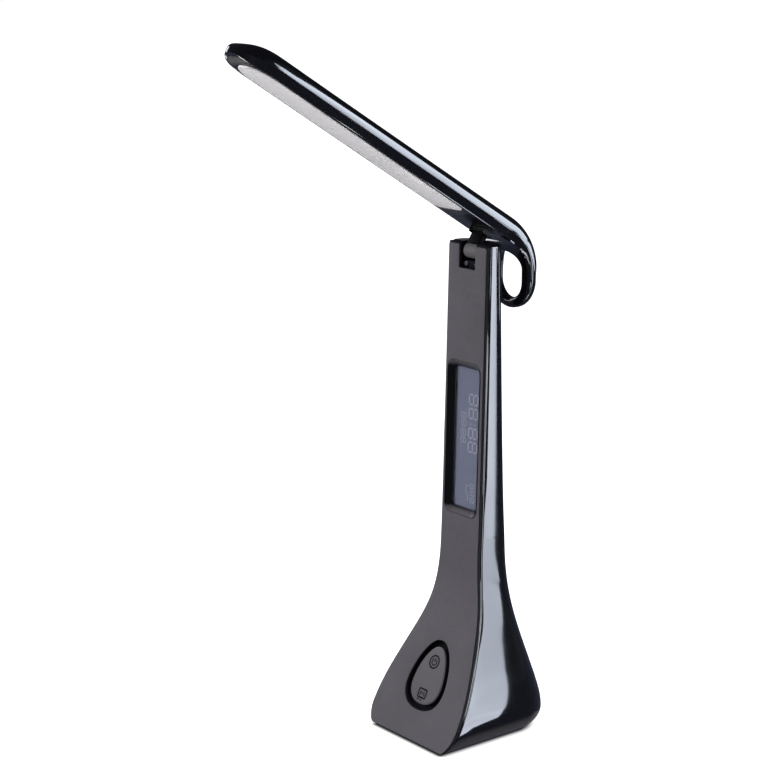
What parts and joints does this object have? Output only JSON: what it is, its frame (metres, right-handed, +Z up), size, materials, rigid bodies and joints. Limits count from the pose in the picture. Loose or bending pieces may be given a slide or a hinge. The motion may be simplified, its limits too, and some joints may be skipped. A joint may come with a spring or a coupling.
{
  "type": "folding led desk lamp",
  "caption": "Folding desk lamp: a flared stand with a calendar display and a rocker key, and a slim light bar on a friction hinge with a carry ring behind it.",
  "frame": {"origin": "centre of the base's width and depth, on the plane that its feet stand on", "axes": "+Z up, -Y towards the front, where the display and the rocker key are, +X to the right as seen from the front"},
  "size_m": [0.068, 0.1825, 0.3681],
  "materials": {
    "gloss_black": "gloss",
    "matte_black": "matt",
    "grained_grey": "fine leather grain",
    "steel": "satin",
    "rubber": "matt",
    "weight_iron": "rough",
    "foam": "matt",
    "battery_wrap": "satin wrap",
    "circuit_board": "satin",
    "chip_black": "matt",
    "tin_plate": "bright",
    "key_grey": "fine matt",
    "key_black": "satin",
    "gloss_bezel": "gloss",
    "window": "clear",
    "lcd_grey": "smooth",
    "black_steel": "black",
    "washer_brass": "satin",
    "diffuser_white": "satin, opal",
    "reflector_white": "matt",
    "led_board_white": "satin",
    "led_yellow": "satin"
  },
  "bodies": {
    "stand": {"rear_shell": "gloss_black", "front_cover": "matte_black", "front_skin": "grained_grey", "base_plate": "matte_black", "base_screws": "steel", "rubber_feet": "rubber", "counterweight": "weight_iron", "battery_pad": "foam", "battery": "battery_wrap", "main_board": "circuit_board", "board_parts": "chip_black", "buzzer": "chip_black", "charge_socket": "tin_plate", "board_screws": "steel", "key_board": "circuit_board", "key_switches": "chip_black", "key_screws": "steel", "lcd_bezel": "gloss_bezel", "lcd_window": "window", "lcd_glass": "lcd_grey", "lcd_board": "circuit_board", "lcd_screws": "steel", "clock_switches": "chip_black", "hinge_bracket": "black_steel", "bracket_screws": "steel", "hinge_pin": "steel", "hinge_nut": "steel", "friction_washers": "washer_brass"},
    "rocker_key": {"rocker_key": "key_grey"},
    "clock_key_1": {"clock_key_1": "key_black"},
    "clock_key_2": {"clock_key_2": "key_black"},
    "clock_key_3": {"clock_key_3": "key_black"},
    "head": {"hinge_barrel": "key_grey", "hinge_arm": "matte_black", "arm_screws": "steel", "head_shell": "gloss_black", "head_frame": "gloss_black", "diffuser": "diffuser_white", "reflector": "reflector_white", "led_board": "led_board_white", "leds": "led_yellow"}
  },
  "joints": [
    {"name": "head_hinge", "type": "hinge", "parent": "stand", "child": "head", "pos_m": [0, 0.0068, 0.2572], "axis": [1, 0, 0], "range_deg": [-4, 120]},
    {"name": "key_rock", "type": "hinge", "parent": "stand", "child": "rocker_key", "pos_m": [0, -0.01808, 0.03129], "axis": [1, 0, 0], "range_deg": [-1.3, 1.3], "stiffness_Nm_per_rad": 0.6},
    {"name": "clock_key_1_press", "type": "slide", "parent": "stand", "child": "clock_key_1", "axis": [0, -1, 0], "range_m": [0, 0.0005], "stiffness_N_per_m": 900, "springref_m": -0.0003},
    {"name": "clock_key_2_press", "type": "slide", "parent": "stand", "child": "clock_key_2", "axis": [0, -1, 0], "range_m": [0, 0.0005], "stiffness_N_per_m": 900, "springref_m": -0.0003},
    {"name": "clock_key_3_press", "type": "slide", "parent": "stand", "child": "clock_key_3", "axis": [0, -1, 0], "range_m": [0, 0.0005], "stiffness_N_per_m": 900, "springref_m": -0.0003}
  ]
}
